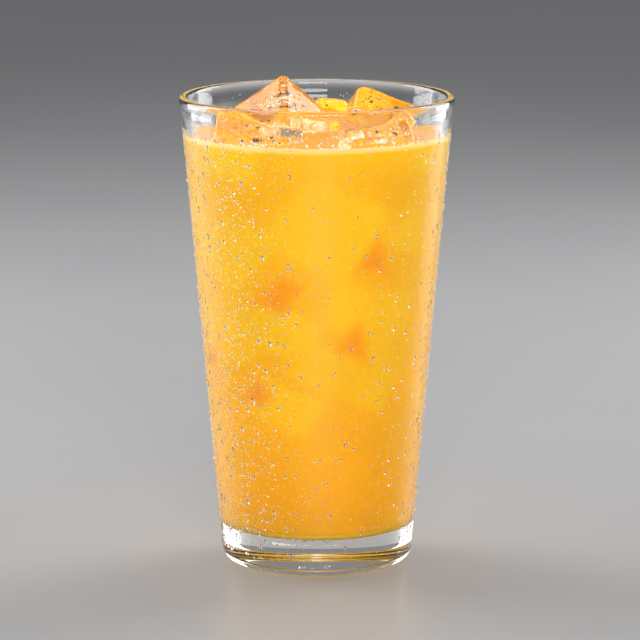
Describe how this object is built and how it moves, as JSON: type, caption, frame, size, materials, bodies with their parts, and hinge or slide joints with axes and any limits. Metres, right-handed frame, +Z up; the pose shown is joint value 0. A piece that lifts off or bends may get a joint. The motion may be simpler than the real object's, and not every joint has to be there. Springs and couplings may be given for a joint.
{
  "type": "glass of orange juice",
  "caption": "Tall tapered tumbler with a thick base, filled with orange juice and ice cubes that break the surface.",
  "frame": {"origin": "centre of the foot, on the plane that the glass stands on", "axes": "+Z up along the axis of the glass; -Y faces the viewer"},
  "size_m": [0.0872, 0.0872, 0.155],
  "materials": {
    "glass": "clear, polished, wet outside",
    "juice": "opaque liquid with a glossy surface",
    "ice": "clear ice with melted, wet edges"
  },
  "bodies": {
    "root": {"glass": "glass", "juice": "juice", "ice_peak": "ice", "ice_second": "ice", "ice_small": "ice", "ice_left": "ice", "ice_right": "ice"}
  },
  "joints": []
}
